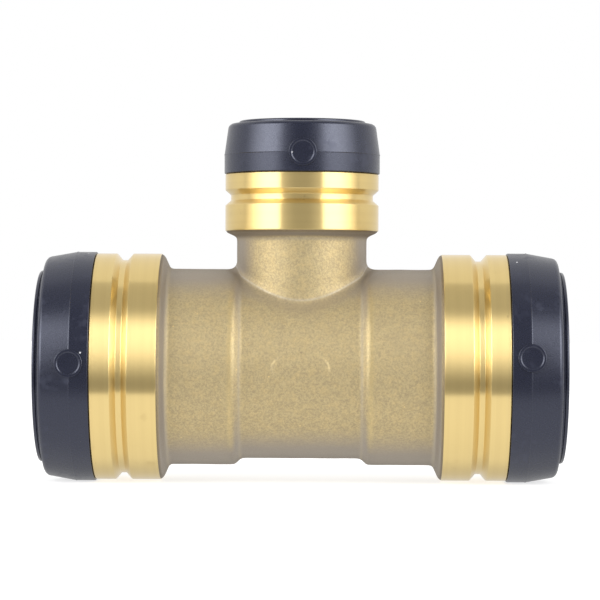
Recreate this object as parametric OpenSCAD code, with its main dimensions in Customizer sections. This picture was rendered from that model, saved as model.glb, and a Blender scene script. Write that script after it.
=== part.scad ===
// Push to connect reducing tee for rigid pipe: two equal run ports on X and a smaller branch port on +Z.
// The origin is where the two port axes cross. Lengths are in millimetres.
// Each port is drawn along +Z, with the height above the origin as its distance from the tee's centre,
// and is then turned to its side of the tee.

/* [Run ports] */
// Outside diameter of the pipe that the two run ports take
run_pipe_d = 53.975; // [53.6:0.005:54.2]
// Outside diameter of the forged barrel behind a run port
run_barrel_d = 61.4; // [61:0.1:63]
// Outside diameter of the machined brass ring of a run port
run_ring_d = 70.9; // [70.5:0.1:71.5]
// Outside diameter of the plastic end cap of a run port
run_cap_d = 71.8; // [71.6:0.1:73]
// Outside diameter of the release collar where it leaves a run cap
run_collar_d = 60; // [59.8:0.1:60.6]
// Distance from the tee's centre to the edge of a run port's machined ring
run_ring_start = 43.8; // [43:0.1:44.5]
// Distance from the tee's centre to the seam between brass and cap on a run port
run_seam = 64.25; // [64:0.05:65]
// Distance from the tee's centre to the flat face of a run cap
run_cap_end = 80; // [79.8:0.1:81]
// How far the release collar stands out of a run cap
run_collar_reach = 2; // [2:0.1:4]
// Distance from the tee's centre to the stop that the pipe in a run port meets
run_stop = 22.8; // [22:0.1:25]
// Bore of the waterway between the two run ports
run_waterway_d = 50; // [46:0.5:51]

/* [Branch port] */
// Outside diameter of the pipe that the branch port takes
branch_pipe_d = 34.925; // [34.6:0.005:35.1]
// Outside diameter of the forged neck below the branch port
branch_neck_d = 40.7; // [40.4:0.1:42]
// Outside diameter of the machined brass ring of the branch port
branch_ring_d = 48.14; // [48:0.02:48.6]
// Outside diameter of the plastic end cap of the branch port
branch_cap_d = 48.8; // [48.7:0.1:50]
// Outside diameter of the release collar where it leaves the branch cap
branch_collar_d = 39.8; // [39.6:0.1:40.2]
// Distance from the tee's centre to the edge of the branch port's machined ring
branch_ring_start = 42.65; // [42.2:0.05:43]
// Distance from the tee's centre to the seam between brass and cap on the branch port
branch_seam = 60.55; // [60.4:0.05:61.5]
// Distance from the tee's centre to the flat face of the branch cap
branch_cap_end = 76.3; // [76.2:0.1:77]
// How far the release collar stands out of the branch cap
branch_collar_reach = 0.9; // [0.5:0.1:2]
// Distance from the tee's centre to the stop that the pipe in the branch port meets
branch_stop = 31; // [30:0.1:33]
// Bore of the waterway in the branch
branch_waterway_d = 32; // [28:0.5:33]

/* [Forged middle] */
// Outside diameter of the slimmer middle of the barrel, under the branch
middle_d = 57.4; // [56:0.2:60]
// Half the length of the slimmer middle
middle_half = 18.5; // [17:0.5:19]
// Length of the sloping step from the middle up to the barrel
middle_step = 3; // [2:0.5:4]
// Radius of the fillet at the foot of each shoulder
shoulder_fillet = 2; // [1:0.1:2.5]
// Steepness of each shoulder, measured from the port axis
shoulder_angle = 55; // [45:1:65]

/* [Tool grooves] */
// Distance from the cap seam to the middle of the groove on a run port
run_groove_back = 8.9; // [8.5:0.1:9.5]
// Depth of the groove on a run port
run_groove_depth = 2.05; // [1:0.05:2.4]
// Distance from the cap seam to the middle of the groove on the branch port
branch_groove_back = 7.49; // [7:0.05:8]
// Depth of the groove on the branch port
branch_groove_depth = 1.77; // [1:0.05:2]
// Width of the flat bottom of each groove
groove_floor = 1.7; // [1:0.1:2.5]
// Angle between a groove wall and a plane square to the port axis
groove_wall_angle = 41; // [30:1:50]

/* [Seals and grip] */
// Thickness of the seal rings in a run port
run_seal_t = 4.4; // [4.2:0.1:4.5]
// Thickness of the seal rings in the branch port
branch_seal_t = 3.4; // [3.3:0.1:3.5]
// Thickness of the toothed ring's sheet in a run port
run_sheet_t = 0.8; // [0.6:0.05:0.9]
// Thickness of the toothed ring's sheet in the branch port
branch_sheet_t = 0.6; // [0.5:0.05:0.7]
// Number of teeth on a run port's toothed ring
run_teeth = 28; // [20:1:32]
// Number of teeth on the branch port's toothed ring
branch_teeth = 20; // [14:1:22]
// Travel of a run port's release collar
run_travel = 2.9; // [2:0.1:3]
// Travel of the branch port's release collar
branch_travel = 2.4; // [1.8:0.1:2.6]

/* [End caps] */
// Distance from the cap seam to the mould line, where the cap starts to taper
cap_straight = 6; // [5:0.1:7]
// Draft of the tapered end of a run cap
run_cap_draft = 10; // [8:0.5:11]
// Draft of the tapered end of the branch cap
branch_cap_draft = 7.8; // [6:0.2:9]
// Radius of the rounded rim of each cap
cap_rim_r = 1.4; // [0.8:0.1:1.6]
// Diameter of the round boss on the front and back of each cap
boss_d = 8.6; // [6:0.2:9]
// Height of the boss above the cap
boss_h = 0.45; // [0.2:0.05:0.6]
// How far each cap is turned on its port, in degrees: left, right and branch
cap_turns = [2.5, -6, 1]; // [-10:0.5:10]

/* [Hidden] */

$fn = 96;
RUN = 0;
BRANCH = 1;

// Clearance between neighbouring pieces along the port, and between fixed pieces and their bore
gap = 0.1;
// Running clearance between the release collar and the cap's lip
collar_gap = 0.08;
// How far the seals, teeth and bores stand off a seated pipe
seat_gap = 0.03;
bore_gap = [0.1625, 0.1375];
sleeve_gap = [0.32, 0.2];

pipe_r = [run_pipe_d, branch_pipe_d] / 2;
waterway_r = [run_waterway_d, branch_waterway_d] / 2;
stop_at = [run_stop, branch_stop];
neck_r = [run_barrel_d, branch_neck_d] / 2;
ring_r = [run_ring_d, branch_ring_d] / 2;
ring_start = [run_ring_start, branch_ring_start];
seam = [run_seam, branch_seam];
groove_at = [run_seam - run_groove_back, branch_seam - branch_groove_back];
groove_depth = [run_groove_depth, branch_groove_depth];
seal_t = [run_seal_t, branch_seal_t];
sheet_t = [run_sheet_t, branch_sheet_t];
teeth = [run_teeth, branch_teeth];
travel = [run_travel, branch_travel];
cap_r = [run_cap_d, branch_cap_d] / 2;
cap_end = [run_cap_end, branch_cap_end];
cap_draft = [run_cap_draft, branch_cap_draft];
collar_r = [run_collar_d, branch_collar_d] / 2;
collar_reach = [run_collar_reach, branch_collar_reach];

// Brass: bore that guides the pipe, pocket for the seals and grip, and the nose that the cap clips on
bore_r = pipe_r + bore_gap;
pocket_r = [for (s = [RUN, BRANCH]) pipe_r[s] + seal_t[s] + gap];
pocket_floor = [44, 43.2];
nose_wall = [2.1, 1.7];
nose_r = pocket_r + nose_wall;
nose_end = [for (s = [RUN, BRANCH]) seam[s] + 8.25];
snap_back = 3.5;
snap_width = 1.6;
snap_depth = 0.5;

// Stack of rings in the pocket, from its floor to the nose's end
inner_seal_at = [for (s = [RUN, BRANCH]) pocket_floor[s] + gap + seal_t[s] / 2];
spacer_at = [for (s = [RUN, BRANCH]) pocket_floor[s] + 2 * gap + seal_t[s]];
spacer_h = [1.8, 1.5];
outer_seal_at = [for (s = [RUN, BRANCH]) spacer_at[s] + spacer_h[s] + gap + seal_t[s] / 2];
protector_at = [for (s = [RUN, BRANCH]) outer_seal_at[s] + seal_t[s] / 2 + gap];
protector_h = [3.1, 3];
support_at = [for (s = [RUN, BRANCH]) protector_at[s] + protector_h[s] + gap];
support_h = [7.3, 7.2];
sheet_at = [for (s = [RUN, BRANCH]) support_at[s] + support_h[s] + gap];
retainer_at = [for (s = [RUN, BRANCH]) sheet_at[s] + sheet_t[s] + gap];
tooth_root_r = [for (s = [RUN, BRANCH]) pocket_r[s] - [1.3, 1.05][s]];
tooth_drop = [2.2, 1.65];
tooth_slope = [for (s = [RUN, BRANCH]) tooth_drop[s] / (tooth_root_r[s] - pipe_r[s] - seat_gap)];
sleeve_wall = [2.1, 1.5];
sleeve_in_r = pipe_r + sleeve_gap;
sleeve_out_r = sleeve_in_r + sleeve_wall;

// Cap: inner cavity for the release collar's flange, and the lip that keeps the collar in
cavity_r = [for (s = [RUN, BRANCH]) pocket_r[s] + [1.3, 0.95][s]];
lip_h = [2.6, 2.8];
flange_start = [for (s = [RUN, BRANCH]) nose_end[s] + travel[s] + gap];
flange_end = [for (s = [RUN, BRANCH]) cap_end[s] - lip_h[s] - gap];

// Points [radius, height] on a round corner about the middle c, from the angle start to the angle end
function arc(c, r, start, end, steps = 6) =
    [for (i = [0:steps]) let (t = start + (end - start) * i / steps) c + r * [cos(t), sin(t)]];

// Points reflected to the other side of the tee's centre, in reverse order
function reflected(points) = [for (i = [len(points) - 1:-1:0]) [points[i][0], -points[i][1]]];

// Forged shoulder from the neck up to the machined ring: fillet, slope and rounded corner
function shoulder(s) =
    let (
        f = shoulder_fillet,
        w = shoulder_angle,
        corner = 1,
        rise = ring_r[s] - neck_r[s] - f * (1 - cos(w)),
        foot = ring_start[s] - f * sin(w) - rise / tan(w)
    )
    concat(
        arc([neck_r[s] + f, foot], f, 180, 180 - w),
        arc([ring_r[s] - corner, ring_start[s] + corner * tan(w / 2)], corner, -w, 0)
    );

// Machined ring with its tool groove, then the nose with the clip groove for the cap
function ring_and_nose(s) =
    let (
        half = groove_floor / 2,
        lean = groove_depth[s] * tan(groove_wall_angle),
        floor_r = ring_r[s] - groove_depth[s],
        edge = 0.3,
        snap = nose_end[s] - snap_back
    )
    [
        [ring_r[s], groove_at[s] - half - lean],
        [floor_r, groove_at[s] - half],
        [floor_r, groove_at[s] + half],
        [ring_r[s], groove_at[s] + half + lean],
        [ring_r[s], seam[s] - edge],
        [ring_r[s] - edge, seam[s]],
        [nose_r[s], seam[s]],
        [nose_r[s], snap - snap_width / 2 - snap_depth],
        [nose_r[s] - snap_depth, snap - snap_width / 2],
        [nose_r[s] - snap_depth, snap + snap_width / 2],
        [nose_r[s], snap + snap_width / 2],
        [nose_r[s], nose_end[s] - 2 * edge],
        [nose_r[s] - 2 * edge, nose_end[s]]
    ];

// Inside of a port: waterway, pipe stop, guiding bore, pocket and chamfered mouth
function port_inside(s) =
    let (lead = 0.4)
    [
        [waterway_r[s], stop_at[s]],
        [bore_r[s], stop_at[s]],
        [bore_r[s], pocket_floor[s] - lead],
        [bore_r[s] + lead, pocket_floor[s]],
        [pocket_r[s], pocket_floor[s]],
        [pocket_r[s], nose_end[s] - lead],
        [pocket_r[s] + 2 * lead, nose_end[s] + lead]
    ];

// Turns a port drawn along +Z to its own side of the tee
module on_left() {
    rotate([0, -90, 0])
        children();
}

module on_right() {
    rotate([0, 90, 0])
        children();
}

// Flat outline [radius, height] spun about the port's axis
module spun(points) {
    rotate_extrude()
        polygon(points);
}

// Forged and machined brass body with its three sockets
module tee_body() {
    middle_r = middle_d / 2;
    run_half = concat(
        [[middle_r, middle_half], [neck_r[RUN], middle_half + middle_step]],
        shoulder(RUN),
        ring_and_nose(RUN),
        [[0, nose_end[RUN]]]
    );
    run_inside = concat(port_inside(RUN), [[0, nose_end[RUN] + 0.4]]);
    color("#c8ab6e")
        difference() {
            union() {
                on_right()
                    spun(concat(reflected(run_half), run_half));
                spun(concat([[0, 0], [neck_r[BRANCH], 0]], shoulder(BRANCH), ring_and_nose(BRANCH),
                    [[0, nose_end[BRANCH]]]));
            }
            on_right()
                spun(concat(reflected(run_inside), run_inside));
            spun(concat([[0, 0], [waterway_r[BRANCH], 0]], port_inside(BRANCH),
                [[0, nose_end[BRANCH] + 0.4]]));
        }
}

// Rubber ring, at the size it has on a seated pipe
module seal(s, at) {
    color("#26272a")
        translate([0, 0, at[s]])
            rotate_extrude()
                translate([pipe_r[s] + seat_gap + seal_t[s] / 2, 0])
                    circle(d = seal_t[s]);
}

// Plastic ring between the two seals, hollowed on the outside
module seal_spacer(s) {
    groove = 0.6;
    web = spacer_h[s] / 4;
    out_r = pocket_r[s] - gap;
    color("#d9d6c8")
        translate([0, 0, spacer_at[s]])
            spun([
                [pipe_r[s] + 0.25, 0],
                [out_r, 0],
                [out_r, web],
                [out_r - groove, web],
                [out_r - groove, spacer_h[s] - web],
                [out_r, spacer_h[s] - web],
                [out_r, spacer_h[s]],
                [pipe_r[s] + 0.25, spacer_h[s]]
            ]);
}

// Plastic ring that centres the pipe and keeps its edge off the seals
module seal_protector(s) {
    lead = 1.1;
    in_r = pipe_r[s] + 0.2;
    out_r = pocket_r[s] - gap;
    color("#e4e1d6")
        translate([0, 0, protector_at[s]])
            spun([
                [in_r, 0],
                [out_r, 0],
                [out_r, protector_h[s]],
                [in_r + lead, protector_h[s]],
                [in_r, protector_h[s] - lead]
            ]);
}

// Ring that carries the toothed ring, with a cone that the teeth lean into
module grip_support(s) {
    out_r = pocket_r[s] - gap;
    seat_w = 0.8;
    color("#8f8a7a")
        translate([0, 0, support_at[s]])
            spun([
                [pipe_r[s] + 0.3, 0],
                [out_r, 0],
                [out_r, support_h[s]],
                [out_r - seat_w, support_h[s]],
                [out_r - seat_w, support_h[s] - 1.3],
                [pipe_r[s] + 0.6, 0.4],
                [pipe_r[s] + 0.3, 0.4]
            ]);
}

// Stainless ring of slanting teeth that bite the pipe
module grip_ring(s) {
    rim_r = pocket_r[s] - 0.15;
    tip_r = pipe_r[s] + seat_gap;
    slot_w = 1.1;
    slot_end = tooth_root_r[s] - 0.2;
    color("#c3c5c8")
        translate([0, 0, sheet_at[s]])
            difference() {
                spun([
                    [tip_r, -tooth_drop[s]],
                    [tooth_root_r[s], 0],
                    [rim_r, 0],
                    [rim_r, sheet_t[s]],
                    [tooth_root_r[s], sheet_t[s]],
                    [tip_r, sheet_t[s] - tooth_drop[s]]
                ]);
                for (i = [0:teeth[s] - 1])
                    rotate(i * 360 / teeth[s])
                        translate([tip_r - 1, -slot_w / 2, -tooth_drop[s] - 1])
                            cube([slot_end - tip_r + 1, slot_w, tooth_drop[s] + sheet_t[s] + 2]);
            }
}

// Ring that holds the toothed ring's rim down and guides the release collar
module grip_retainer(s) {
    out_r = pocket_r[s] - gap;
    in_r = sleeve_out_r[s] + collar_gap;
    top = nose_end[s] - retainer_at[s];
    edge = 0.5;
    color("#b9b7ab")
        translate([0, 0, retainer_at[s]])
            spun([
                [in_r + edge, 0],
                [out_r, 0],
                [out_r, top],
                [in_r + edge, top],
                [in_r, top - edge],
                [in_r, edge]
            ]);
}

// Collar that opens the teeth when it is pushed in: cone nose, sleeve, flange and the lip outside the cap
module release_collar(s) {
    nose_in = sheet_at[s] + sheet_t[s] + 0.15 - tooth_slope[s] * (tooth_root_r[s] - sleeve_in_r[s]);
    nose_out = nose_in + tooth_slope[s] * (sleeve_out_r[s] - sleeve_in_r[s] - 0.3);
    flange_r = cavity_r[s] - 0.2;
    end = cap_end[s] + collar_reach[s];
    rim = 0.6;
    lead = 1.2;
    color("#17181b")
        spun(concat(
            [
                [sleeve_in_r[s], nose_in],
                [sleeve_out_r[s] - 0.3, nose_out],
                [sleeve_out_r[s], nose_out + 0.4],
                [sleeve_out_r[s], flange_start[s]],
                [flange_r, flange_start[s]],
                [flange_r, flange_end[s]],
                [collar_r[s], flange_end[s]]
            ],
            arc([collar_r[s] - rim, end - rim], rim, 0, 90),
            [
                [sleeve_in_r[s] + lead * 0.6, end],
                [sleeve_in_r[s], end - lead]
            ]
        ));
}

// Clip-on cap: skirt over the brass nose, cavity for the collar's flange, lip, and two round bosses
module end_cap(s, turn) {
    start = seam[s] + gap;
    taper_at = seam[s] + cap_straight;
    face_r = cap_r[s] - (cap_end[s] - taper_at) * tan(cap_draft[s]);
    skirt_r = nose_r[s] + gap;
    lip_r = collar_r[s] + collar_gap;
    lip_start = cap_end[s] - lip_h[s];
    snap = nose_end[s] - snap_back;
    bead = snap_depth - gap;
    edge = 0.3;
    rim = cap_rim_r;
    outline = concat(
        [
            [skirt_r, start],
            [cap_r[s] - edge, start],
            [cap_r[s], start + edge],
            [cap_r[s], taper_at]
        ],
        arc([face_r - rim * (1 / cos(cap_draft[s]) - tan(cap_draft[s])), cap_end[s] - rim],
            rim, cap_draft[s], 90),
        [
            [lip_r + edge, cap_end[s]],
            [lip_r, cap_end[s] - edge],
            [lip_r, lip_start],
            [cavity_r[s], lip_start],
            [cavity_r[s], nose_end[s] + gap],
            [skirt_r, nose_end[s] + gap],
            [skirt_r, snap + snap_width / 2 - gap],
            [skirt_r - bead, snap + snap_width / 2 - gap],
            [skirt_r - bead, snap - snap_width / 2 + gap],
            [skirt_r, snap - snap_width / 2 - bead]
        ]
    );
    color("#3a3d4a")
        rotate(turn) {
            spun(outline);
            for (side = [-1, 1])
                translate([0, side * (skirt_r + 0.5), taper_at])
                    rotate([-side * 90, 0, 0])
                        cylinder(d = boss_d, h = cap_r[s] + boss_h - skirt_r - 0.5);
        }
}

tee_body();

on_left() seal(RUN, inner_seal_at);  // left_inner_seal
on_left() seal_spacer(RUN);  // left_seal_spacer
on_left() seal(RUN, outer_seal_at);  // left_outer_seal
on_left() seal_protector(RUN);  // left_seal_protector
on_left() grip_support(RUN);  // left_grip_support
on_left() grip_ring(RUN);  // left_grip_ring
on_left() grip_retainer(RUN);  // left_grip_retainer
on_left() release_collar(RUN);  // left_release_collar
on_left() end_cap(RUN, cap_turns[0]);  // left_end_cap

on_right() seal(RUN, inner_seal_at);  // right_inner_seal
on_right() seal_spacer(RUN);  // right_seal_spacer
on_right() seal(RUN, outer_seal_at);  // right_outer_seal
on_right() seal_protector(RUN);  // right_seal_protector
on_right() grip_support(RUN);  // right_grip_support
on_right() grip_ring(RUN);  // right_grip_ring
on_right() grip_retainer(RUN);  // right_grip_retainer
on_right() release_collar(RUN);  // right_release_collar
on_right() end_cap(RUN, cap_turns[1]);  // right_end_cap

seal(BRANCH, inner_seal_at);  // branch_inner_seal
seal_spacer(BRANCH);  // branch_seal_spacer
seal(BRANCH, outer_seal_at);  // branch_outer_seal
seal_protector(BRANCH);  // branch_seal_protector
grip_support(BRANCH);  // branch_grip_support
grip_ring(BRANCH);  // branch_grip_ring
grip_retainer(BRANCH);  // branch_grip_retainer
release_collar(BRANCH);  // branch_release_collar
end_cap(BRANCH, cap_turns[2]);  // branch_end_cap
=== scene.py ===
import math

import bmesh
import bpy
import numpy as np
from mathutils import Matrix, Vector, noise


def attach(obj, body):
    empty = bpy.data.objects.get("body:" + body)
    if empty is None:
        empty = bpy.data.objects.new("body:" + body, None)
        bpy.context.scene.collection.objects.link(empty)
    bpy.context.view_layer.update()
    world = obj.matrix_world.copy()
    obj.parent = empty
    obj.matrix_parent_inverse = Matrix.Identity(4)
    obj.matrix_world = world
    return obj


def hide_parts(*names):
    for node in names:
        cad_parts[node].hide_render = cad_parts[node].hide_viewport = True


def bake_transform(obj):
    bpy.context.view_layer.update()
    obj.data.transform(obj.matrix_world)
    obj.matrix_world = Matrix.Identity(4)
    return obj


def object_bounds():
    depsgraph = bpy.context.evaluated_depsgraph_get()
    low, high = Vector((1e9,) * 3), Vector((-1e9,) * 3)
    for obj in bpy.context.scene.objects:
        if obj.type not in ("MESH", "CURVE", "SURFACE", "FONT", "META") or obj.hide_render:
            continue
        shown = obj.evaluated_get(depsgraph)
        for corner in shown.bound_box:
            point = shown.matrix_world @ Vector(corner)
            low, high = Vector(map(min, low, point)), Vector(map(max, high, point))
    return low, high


bl_info = {
    "name": "Push to Connect Reducing Tee",
    "version": (1, 0, 0),
    "blender": (4, 5, 0),
    "location": "View3D > Sidebar > Tee",
    "description": "Builds a forged brass tee with turned ends, clip-on caps and sprung release collars",
    "category": "Object",
}

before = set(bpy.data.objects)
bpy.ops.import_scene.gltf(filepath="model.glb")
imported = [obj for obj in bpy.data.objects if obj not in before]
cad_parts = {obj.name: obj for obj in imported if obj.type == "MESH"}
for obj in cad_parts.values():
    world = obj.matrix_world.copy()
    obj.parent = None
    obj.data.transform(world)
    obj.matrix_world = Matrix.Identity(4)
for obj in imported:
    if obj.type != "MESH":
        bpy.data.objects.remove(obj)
cad_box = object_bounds()

MM = 0.001
FULL_TURN = 2 * math.pi

# Room left between a ring and its pocket, and between a cap and the brass
PLAY = 0.1 * MM
# Room left between a seated pipe and what bears on it
SEATED = 0.03 * MM
# From the brass rim back to the middle of the groove that a cap clips into
CLIP_BACK = 3.5 * MM
# How far the forging's outline runs on past the start of a turned ring, before it is cut
RUN_ON = 2 * MM

# Each port is drawn standing on the tee's centre with its axis up, and then turned to its place.
PORT_TURN = {
    "left": Matrix.Rotation(-math.pi / 2, 4, "Y"),
    "right": Matrix.Rotation(math.pi / 2, 4, "Y"),
    "branch": Matrix.Identity(4),
}


# Settings


def length(name, description, millimetres):
    """A size, given in millimetres and shown in the scene's own unit."""
    return bpy.props.FloatProperty(
        name=name, description=description, default=millimetres * MM, unit="LENGTH", precision=5
    )


def angle(name, description, degrees):
    """An angle, given in degrees."""
    return bpy.props.FloatProperty(
        name=name, description=description, default=math.radians(degrees), subtype="ANGLE", unit="ROTATION"
    )


def share(name, description, value):
    """A plain number from 0 to 1."""
    return bpy.props.FloatProperty(
        name=name, description=description, default=value, min=0.0, max=1.0, subtype="FACTOR"
    )


def colour(name, description, red, green, blue):
    """A surface colour, as linear red, green and blue."""
    return bpy.props.FloatVectorProperty(
        name=name, description=description, default=(red, green, blue, 1.0),
        size=4, min=0, max=1, subtype="COLOR",
    )


# Sizes of a port in millimetres: name, label, description, on the run, on the branch.
# A height is measured from the tee's centre along the port.
PORT_SIZES = (
    ("pipe_r", "Pipe radius", "Outside radius of the pipe", 26.9875, 17.4625),
    ("water_r", "Waterway radius", "Bore behind the pipe stop", 25.0, 16.0),
    ("stop_a", "Pipe stop", "Height of the step that stops the pipe", 22.8, 31.0),
    ("bore_r", "Guiding bore", "Radius of the bore that holds the pipe's end", 27.15, 17.6),
    ("floor_a", "Pocket floor", "Height of the floor under the seals", 44.0, 43.2),
    ("pocket_r", "Pocket radius", "Radius of the pocket for the seals and the grip", 31.4875, 20.9625),
    ("nose_r", "Nose radius", "Outside radius of the brass under the cap", 33.5875, 22.6625),
    ("nose_end", "Nose end", "Height of the brass rim", 72.5, 68.8),
    ("seam_a", "Seam", "Height where the ring ends and the cap begins", 64.25, 60.55),
    ("ring_r", "Ring radius", "Outside radius of the turned ring", 35.45, 24.07),
    ("ring_a", "Ring start", "Height where turning meets forging", 43.8, 42.65),
    ("barrel_r", "Forging radius", "Outside radius of the forging behind the ring", 30.7, 20.35),
    ("foot_a", "Shoulder foot", "Height where the forged shoulder starts", 41.2, 40.7),
    ("groove_a", "Tool groove", "Height of the middle of the tool groove", 55.35, 53.06),
    ("groove_depth", "Tool groove depth", "Depth of the tool groove", 2.05, 1.77),
    ("cap_r", "Cap radius", "Outside radius of the cap's skirt", 35.9, 24.4),
    ("face_a", "Cap face", "Height of the cap's face", 80.0, 76.3),
    ("lip_a", "Cap lip", "Height of the inside of the cap's lip", 77.4, 73.5),
    ("cavity_r", "Cap cavity", "Radius of the room for the collar's flange", 32.7875, 21.9125),
    ("sleeve_in", "Collar bore", "Inside radius of the release collar", 27.3075, 17.6625),
    ("sleeve_out", "Collar sleeve", "Outside radius of the collar's sleeve", 29.4075, 19.1625),
    ("sleeve_a", "Collar nose", "Height of the collar's inner end", 64.551, 61.516),
    ("flange_r", "Flange radius", "Radius of the flange that keeps the collar in", 32.5875, 21.7125),
    ("flange_low", "Flange underside", "Height of the flange's inner face", 75.5, 71.3),
    ("flange_top", "Flange top", "Height of the flange's outer face", 77.3, 73.4),
    ("collar_r", "Collar radius", "Radius of the part that stands out of the cap", 30.0, 19.9),
    ("collar_end", "Collar rim", "Height of the collar's rim", 82.0, 77.2),
    ("seal_t", "Seal section", "Thickness of a seal ring", 4.4, 3.4),
    ("inner_seal_a", "Inner seal", "Height of the inner seal ring", 46.3, 45.0),
    ("outer_seal_a", "Outer seal", "Height of the outer seal ring", 52.7, 50.1),
    ("spacer_a", "Spacer", "Height of the spacer ring", 48.6, 46.8),
    ("spacer_h", "Spacer height", "How tall the spacer ring is", 1.8, 1.5),
    ("protector_a", "Protector", "Height of the seal protector", 55.0, 51.9),
    ("protector_h", "Protector height", "How tall the seal protector is", 3.1, 3.0),
    ("support_a", "Grip support", "Height of the grip support", 58.2, 55.0),
    ("support_h", "Grip support height", "How tall the grip support is", 7.3, 7.2),
    ("grip_a", "Grip ring", "Height of the grip ring's flat rim", 65.6, 62.3),
    ("grip_t", "Grip ring sheet", "Thickness of the spring steel", 0.8, 0.6),
    ("root_r", "Tooth root", "Radius where the teeth leave the rim", 30.1875, 19.9125),
    ("tooth_drop", "Tooth drop", "How far the tips lean towards the tee", 2.2, 1.65),
    ("retainer_a", "Retainer", "Height of the grip retainer", 66.5, 63.0),
)


def port_sizes(column, draft, slope, teeth):
    """The properties of one kind of port, from its column of the table and its other values."""
    made = {}
    for name, label, text, *values in PORT_SIZES:
        made[name] = length(label, text, values[column])
    made["cap_draft"] = angle("Cap draft", "Taper of the cap above its mould line", draft)
    made["sleeve_slope"] = bpy.props.FloatProperty(
        name="Collar nose slope", description="Rise of the collar's nose over its width", default=slope
    )
    made["teeth"] = bpy.props.IntProperty(
        name="Teeth", description="Number of teeth on the grip ring", default=teeth
    )
    return made


class RunPortSettings(bpy.types.PropertyGroup):
    """Sizes of the two ports on the run"""

    __annotations__ = port_sizes(0, draft=10.0, slope=0.694, teeth=28)


class BranchPortSettings(bpy.types.PropertyGroup):
    """Sizes of the branch port"""

    __annotations__ = port_sizes(1, draft=7.8, slope=0.682, teeth=20)


class ShapeSettings(bpy.types.PropertyGroup):
    """Details that the ports share, and how finely round parts are drawn"""

    run_steps: bpy.props.IntProperty(
        name="Run steps", description="Steps round a run port", default=160
    )
    branch_steps: bpy.props.IntProperty(
        name="Branch steps", description="Steps round the branch", default=128
    )
    middle_r: length("Waist radius", "Radius of the forging's waist", 28.7)
    waist_a: length("Waist end", "Half the length of the waist", 18.6)
    waist_slope: length("Waist slope", "Length of the slope from the waist to the barrel", 2.1)
    shoulder_slope: angle("Shoulder slope", "Steepness of the forged shoulders", 66.0)
    forging_cell: length("Forging cell", "Grid size of the forging's skin", 0.62)
    neck_fillet: length("Neck fillet", "Reach of the fillet where the neck meets the run", 3.6)
    pad_length: length("Pad length", "Length of the blank pad forged on the front", 17.0)
    pad_width: length("Pad width", "Width of the blank pad forged on the front", 7.0)
    pad_height: length("Pad height", "How far the blank pad stands up", 0.3)
    groove_floor: length("Groove floor", "Width of the tool groove's floor", 1.7)
    groove_lean: angle("Groove wall", "Lean of the tool groove's walls", 41.0)
    mould_a: length("Mould line", "Distance of a cap's mould line from the seam", 6.0)
    boss_r: length("Boss radius", "Radius of the round bosses on a cap", 4.3)
    boss_h: length("Boss height", "How far a boss stands out of the cap", 0.45)
    cap_rim: length("Cap rim", "Rounding of the cap's outer rim", 1.4)
    left_cap_turn: angle("Left cap turn", "Turn of the left cap on its port", 2.5)
    right_cap_turn: angle("Right cap turn", "Turn of the right cap on its port", -6.0)
    branch_cap_turn: angle("Branch cap turn", "Turn of the branch cap on its port", 1.0)


class FinishSettings(bpy.types.PropertyGroup):
    """Colours and gloss of the materials"""

    forging: colour("Forging", "Colour of the forged and blasted brass", 0.54, 0.435, 0.235)
    forging_dark: colour("Forging shade", "Colour in the pits of the forging", 0.37, 0.295, 0.17)
    # Painted shade with a grey cast, where the forging turns away from view
    forging_slant_shade: colour("Forging at a slant", "Colour where the forging turns away", 0.345, 0.30, 0.245)
    forging_gloss: share("Forging roughness", "Roughness of the forged brass", 0.50)
    forging_metal: share("Forging metal", "How metallic the blasted skin looks", 0.65)
    turned: colour("Turned brass", "Colour of the turned brass", 0.87, 0.67, 0.295)
    turned_dull: colour("Turned brass, handled", "Colour under finger marks and stain", 0.72, 0.53, 0.23)
    turned_gloss: share("Turned roughness", "Roughness across the turning marks", 0.28)
    cap: colour("Cap", "Colour of the caps' plastic", 0.003, 0.004, 0.014)
    cap_worn: colour("Cap, rubbed", "Colour where a cap is rubbed", 0.014, 0.016, 0.032)
    cap_gloss: share("Cap roughness", "Roughness of the caps", 0.30)
    collar: colour("Collar", "Colour of the release collars", 0.008, 0.009, 0.020)
    collar_gloss: share("Collar roughness", "Roughness of the collars", 0.20)
    # Dark specks in the pits of the forging and the turned brass, and also the painted shade in corners,
    # under the neck's fillet, beside the turned rings and along the forging's outline
    grime_and_shade: colour("Grime", "Colour of the dirt in corners", 0.17, 0.13, 0.08)
    # Duller brass at the feet of the waist's and the shoulders' steps, darkened as painted shade in the
    # crease
    foot_dull_shade: colour("Foot grey", "Colour of the dull line at the foot of a step", 0.34, 0.295, 0.22)
    stain: colour("Stain", "Colour of the brown spots on the turned brass", 0.50, 0.33, 0.15)
    plastic_sheen: colour("Plastic sheen", "Tint of the reflections in the plastic", 0.78, 0.82, 1.0)
    # Also the colour of the painted highlight along the neck's fillet
    dust: colour("Dust", "Colour of dust and fine scratches", 0.62, 0.62, 0.64)
    rubber: colour("Rubber", "Colour of the seal rings", 0.012, 0.012, 0.012)
    spacer: colour("Spacer", "Colour of the spacer rings", 0.020, 0.030, 0.055)
    protector: colour("Protector", "Colour of the seal protectors", 0.060, 0.075, 0.110)
    support: colour("Support", "Colour of the grip supports and retainers", 0.70, 0.68, 0.60)
    steel: colour("Steel", "Colour of the grip rings", 0.62, 0.61, 0.59)


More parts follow.
